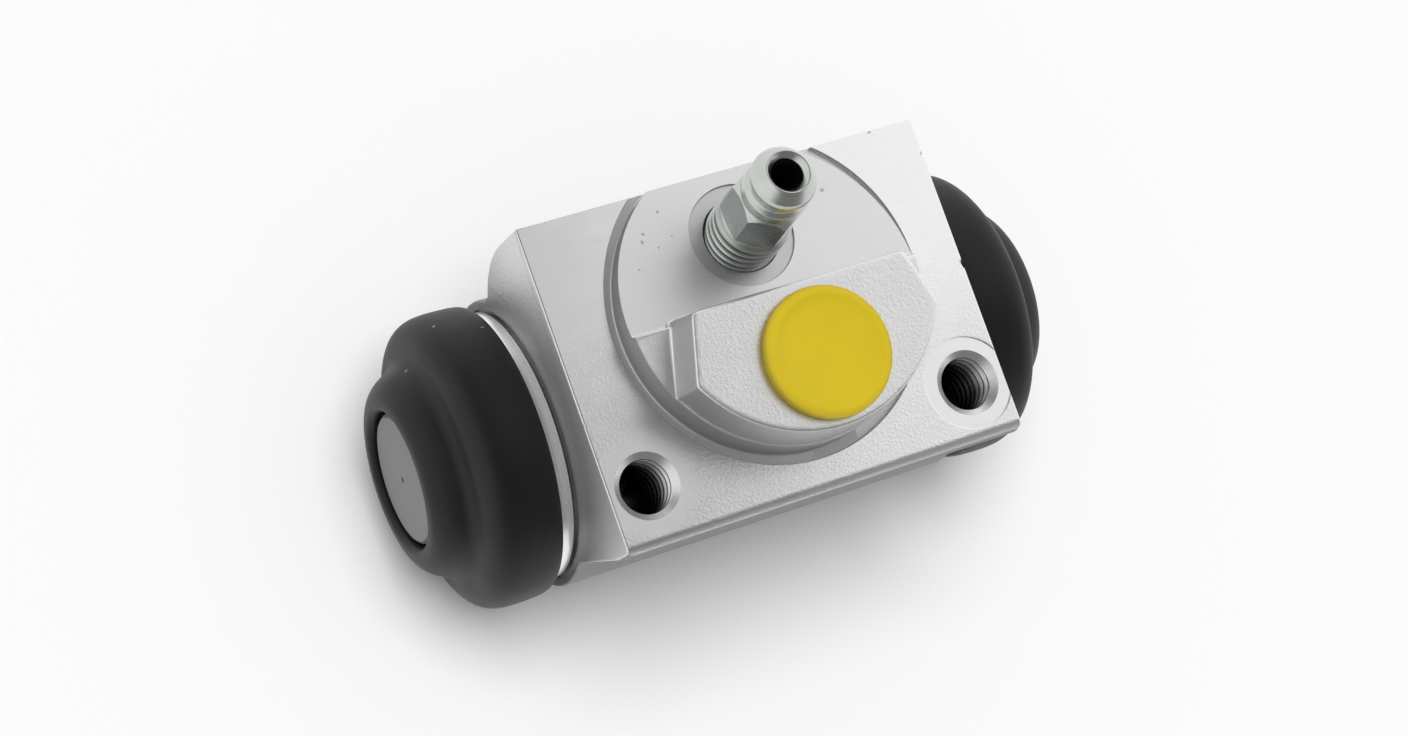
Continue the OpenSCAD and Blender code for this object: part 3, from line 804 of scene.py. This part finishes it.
SCREW_AROUND = 144
SCREW_R = 3.45
THREAD_DEPTH = 0.6
THREAD_FROM = -7.6
THREAD_FINE_FROM = -0.6
THREAD_TO = 3.8
RUN_OUT = 0.4
NECK_R = 2.8
HEX_HALF = 2.95
HEX_R = HEX_HALF / math.cos(math.pi / 6)
HEX_BAR_R = HEX_R + 0.02
HEX_FROM = 4.3
HEX_TO = 9.1
HEX_BEVEL = 0.7
HEX_TURN = 30
COLLAR_R = 2.9
TIP_Z = 13.7
BLEED_HOLE_R = 1.4
CROSS_HOLE_R = 0.7
CROSS_HOLE_Z = -5.2


def screw_thread(radius, angle, height):
    """Cuts the thread out of the turned screw, running out below the hexagon."""
    if radius < 3 or height < THREAD_FROM or height > THREAD_TO:
        return np.full(len(angle), radius)
    run_out = min(1, (THREAD_TO - height) / RUN_OUT)
    return radius - THREAD_DEPTH * run_out * thread_wave(angle, height)


screw_profile = eased([(0, -11.6), (1.5, -11.6), (2.55, -9.6), (2.55, -8.6), (SCREW_R, -7.8)], 0.1)
screw_profile += [(SCREW_R, z) for z in np.arange(THREAD_FROM, THREAD_FINE_FROM, THREAD_PITCH / 12)]
screw_profile += [(SCREW_R, z) for z in np.arange(THREAD_FINE_FROM, THREAD_TO, THREAD_PITCH / 24)]
screw_profile += eased([
    (SCREW_R, THREAD_TO), (NECK_R, HEX_FROM - 0.02), (NECK_R, HEX_TO - 0.3),
    (COLLAR_R, HEX_TO - 0.2), (COLLAR_R, TIP_Z - 3.5), (2.5, TIP_Z - 3.2), (2.45, TIP_Z - 2.8),
    (2.85, TIP_Z - 1.9), (2.95, TIP_Z - 1.5), (2.8, TIP_Z - 1.1), (2.08, TIP_Z - 0.1), (1.97, TIP_Z),
    (1.88, TIP_Z - 0.02), (BLEED_HOLE_R, TIP_Z - 0.5), (BLEED_HOLE_R, -6), (0, -6.4),
], 0.08)
screw = as_object(turned(screw_profile, SCREW_AROUND, shaped=screw_thread), "bleed_nipple", screw_seat)
hex_bar = [
    (0, HEX_FROM), (HEX_HALF, HEX_FROM), (HEX_BAR_R, HEX_FROM + 0.3), (HEX_BAR_R, HEX_TO - HEX_BEVEL),
    (COLLAR_R - 0.03, HEX_TO), (0, HEX_TO),
]
hexagon = as_object(turned(hex_bar, SCREW_AROUND), "hexagon")
hex_corners = arc(0, 0, HEX_R, HEX_TURN, HEX_TURN + 300, 6)
combine(hexagon, "INTERSECT", loft([[(x, y, z) for x, y in hex_corners] for z in (0, 12)]))
combine(hexagon, "DIFFERENCE", turned([(0, 0), (2.3, 0), (2.3, 12), (0, 12)], around=48))
combine(screw, "UNION", taken_back(hexagon), screw_seat)
cross_hole = turned([(0, -7), (CROSS_HOLE_R, -7), (CROSS_HOLE_R, 7), (0, 7)], around=32)
crossways = at(0, 0, CROSS_HOLE_Z) @ Matrix.Rotation(math.pi / 2, 4, "Y")
combine(screw, "DIFFERENCE", cross_hole, screw_seat @ crossways)
smooth(screw, degrees=32)


# Bright zinc plating on steel: pale, faintly green, with painted shade in the thread's roots, and
# turning rings that show through and are drawn coarser than they are
def zinc_plating():
    material, tree, place = blank_material("bright_zinc_plated_steel")
    ring_spacing = 0.14
    ring_depth = 0.005
    stain_size = 1.5
    shifted = add(tree, "VectorMath", {0: place, 1: tuple(SCREW_AT)}, operation="SUBTRACT")
    upright = add(tree, "VectorRotate", {"Vector": shifted, "Axis": (1, 0, 0), "Angle": LAND_LEAN})
    apart = add(tree, "SeparateXYZ", {0: upright})
    height = apart.outputs[2]
    across = add(tree, "CombineXYZ", {0: apart.outputs[0], 1: apart.outputs[1]})
    radius = add(tree, "VectorMath", {0: across}, operation="LENGTH").outputs["Value"]
    section = add(tree, "CombineXYZ", {0: height, 1: radius})
    rings = add(tree, "TexNoise", {"Vector": section, "Scale": 1 / ring_spacing})
    stain = add(tree, "TexNoise", {"Vector": place, "Scale": 1 / stain_size, "Detail": 3})
    # Painted shade: the thread's roots below the hexagon are painted dark
    below_hex = add(tree, "MapRange", {"Value": height, 1: 4.2, 2: 3.8}, **EASE)
    inner = add(tree, "MapRange", {"Value": radius, 1: 3.42, 2: 3.02}, **EASE)
    painted_root_shade = add(tree, "Math", {0: below_hex, 1: inner}, operation="MULTIPLY")
    colour = add(tree, "Mix", {"Factor": stain, 6: linear("#BCC0BB"), 7: linear("#D2D6D2")}, **COLOURS)
    colour = add(tree, "Mix", {"Factor": painted_root_shade, 6: colour, 7: linear("#3C3E3C")}, **COLOURS)
    roughness = add(tree, "MapRange", {"Value": rings, 1: 0.3, 2: 0.7, 3: 0.18, 4: 0.3}, **EASE)
    bump = add(tree, "Bump", {"Height": rings, "Strength": 1, "Distance": ring_depth * MM})
    metal = add(tree, "BsdfPrincipled", {
        "Base Color": colour, "Metallic": 1, "Roughness": roughness, "Normal": bump,
    })
    add(tree, "OutputMaterial", {"Surface": metal})
    return material


screw.data.materials.append(zinc_plating())
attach(screw, "bleeder")
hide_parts("bleed_screw")

# Port plug
# A transit plug moulded in soft polyethylene, pushed into the inlet port by its hollow stem.
# Its face is a shallow dish inside a round rim.

PLUG_AROUND = 128
PLUG_TOP = 8.9
plug_outline = eased([
    (0, 8.56), (2.5, 8.57), (4.2, 8.6), (4.75, 8.74), (5.15, PLUG_TOP), (5.6, 8.8), (5.9, 8.4), (5.92, 7.62),
    (5.85, 7.5), (4.45, 7.5), (4.45, 1.6), (4.05, 1.0), (3.15, 1.0), (3.15, 6.9), (0, 6.9),
], 0.25)
plug = as_object(turned(plug_outline, PLUG_AROUND), "port_cap", at(*PORT))
smooth(plug, degrees=40)


# Polyethylene: strong yellow, waxy and a little translucent, with a fine moulded skin that is
# drawn coarser than it is
def yellow_polyethylene():
    material, tree, place = blank_material("yellow_polyethylene")
    skin_size = 0.25
    skin_depth = 0.002
    flow_size = 5.0
    glow_depth = 0.6
    skin = add(tree, "TexNoise", {"Vector": place, "Scale": 1 / skin_size})
    flow = add(tree, "TexNoise", {"Vector": place, "Scale": 1 / flow_size, "Detail": 1})
    colour = add(tree, "Mix", {"Factor": flow, 6: linear("#C8B016"), 7: linear("#D2BA1A")}, **COLOURS)
    bump = add(tree, "Bump", {"Height": skin, "Strength": 1, "Distance": skin_depth * MM})
    plastic = add(tree, "BsdfPrincipled", {
        "Base Color": colour, "Roughness": 0.5, "IOR": 1.51, "Normal": bump,
        "Subsurface Weight": 0.15, "Subsurface Radius": (1, 0.7, 0.1), "Subsurface Scale": glow_depth * MM,
    })
    add(tree, "OutputMaterial", {"Surface": plastic})
    return material


plug.data.materials.append(yellow_polyethylene())
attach(plug, "plug")
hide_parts("port_plug")

# Floor and light
# A white table in a light tent. The lamp is broad and almost overhead, and metal shows
# the tent's white sides and the darker opening that the camera looks through.

FLOOR_HALF = 1.5
FLOOR_GAP = 0.05
FILL = 0.35
KEY_STRENGTH = 2.35
KEY_FROM = Vector((-0.13, 0.13, 0.98))
KEY_SPREAD = math.radians(38)
DARK_LEVEL = 0.22
BRIGHT_SIDES = [
    [((1, 0, 0), 0.17, 0.4), ((0, 1, 0), -0.3, -0.03)],
    [((-1, 0.1, 0), 0.35, 0.85)],
    [((0, 0, -1), -0.5, -0.2), ((0, 1, 0), -0.85, -0.5)],
]

table_shape = bmesh.new()
bmesh.ops.create_grid(table_shape, x_segments=1, y_segments=1, size=FLOOR_HALF)
table = as_object(table_shape, "table", Matrix.Translation((0, 0, cad_low.z - FLOOR_GAP * MM)))


# White laminate: plain, matte, evenly lit
def white_laminate():
    material, tree, _ = blank_material("white_laminate")
    laminate = add(tree, "BsdfPrincipled", {
        "Base Color": linear("#F4F4F4"), "Roughness": 0.6, "Specular IOR Level": 0.2,
    })
    add(tree, "OutputMaterial", {"Surface": laminate})
    return material


table.data.materials.append(white_laminate())

# Each bright side is a direction and where its edge starts and ends, or two that both have to hold.
# Only mirrored rays see the sides: plain surfaces get an even fill, and the camera sees white
tent = bpy.data.worlds.new("light_tent")
bpy.context.scene.world = tent
tent.use_nodes = True
sky = tent.node_tree
sky.nodes.clear()
way = add(sky, "TexCoord").outputs["Generated"]
wall = DARK_LEVEL
for bright_side in BRIGHT_SIDES:
    level = 1
    for towards, outer, inner in bright_side:
        facing = add(sky, "VectorMath", {0: way, 1: towards}, operation="DOT_PRODUCT").outputs["Value"]
        lit = add(sky, "MapRange", {"Value": facing, 1: outer, 2: inner, 3: DARK_LEVEL, 4: 1}, **EASE)
        level = add(sky, "Math", {0: lit, 1: level}, operation="MINIMUM")
    wall = add(sky, "Math", {0: level, 1: wall}, operation="MAXIMUM")
rays = add(sky, "LightPath")
glossy = rays.outputs["Is Glossy Ray"]
through = rays.outputs["Is Transmission Ray"]
mirrored = add(sky, "Math", {0: glossy, 1: through}, operation="MAXIMUM")
strength = add(sky, "Mix", {"Factor": mirrored, 2: FILL, 3: wall})
strength = add(sky, "Math", {0: strength, 1: rays.outputs["Is Camera Ray"]}, operation="MAXIMUM")
glow = add(sky, "Background", {"Color": (1, 1, 1, 1), "Strength": strength})
add(sky, "OutputWorld", {"Surface": glow})

key = bpy.data.objects.new("key_lamp", bpy.data.lights.new("key_lamp", "SUN"))
key.data.energy = KEY_STRENGTH
key.data.angle = KEY_SPREAD
key.visible_glossy = False
key.rotation_mode = "QUATERNION"
key.rotation_quaternion = KEY_FROM.to_track_quat("Z", "Y")
bpy.context.scene.collection.objects.link(key)
bpy.context.scene.view_settings.view_transform = "Standard"

# Camera
# A long lens above the left front of the cylinder, rolled so that the bore climbs to the right.
# Its place and lens were fitted to the part's corners and circles.

CAMERA_AT = Vector((-105.629, -31.443, 236.429)) * MM
CAMERA_RIGHT = Vector((0.883706, -0.333866, 0.328019))
CAMERA_UP = Vector((0.272210, 0.936732, 0.220077))
CAMERA_LENS = 75.07
CAMERA_SENSOR = 36

camera = bpy.data.objects.new("camera", bpy.data.cameras.new("camera"))
camera.data.sensor_fit = "HORIZONTAL"
camera.data.sensor_width = CAMERA_SENSOR
camera.data.lens = CAMERA_LENS
camera.data.clip_start = 0.01
camera.data.clip_end = 10
turn = Matrix((CAMERA_RIGHT, CAMERA_UP, CAMERA_RIGHT.cross(CAMERA_UP))).transposed()
camera.matrix_world = Matrix.Translation(CAMERA_AT) @ turn.to_4x4()
bpy.context.scene.collection.objects.link(camera)
bpy.context.scene.camera = camera
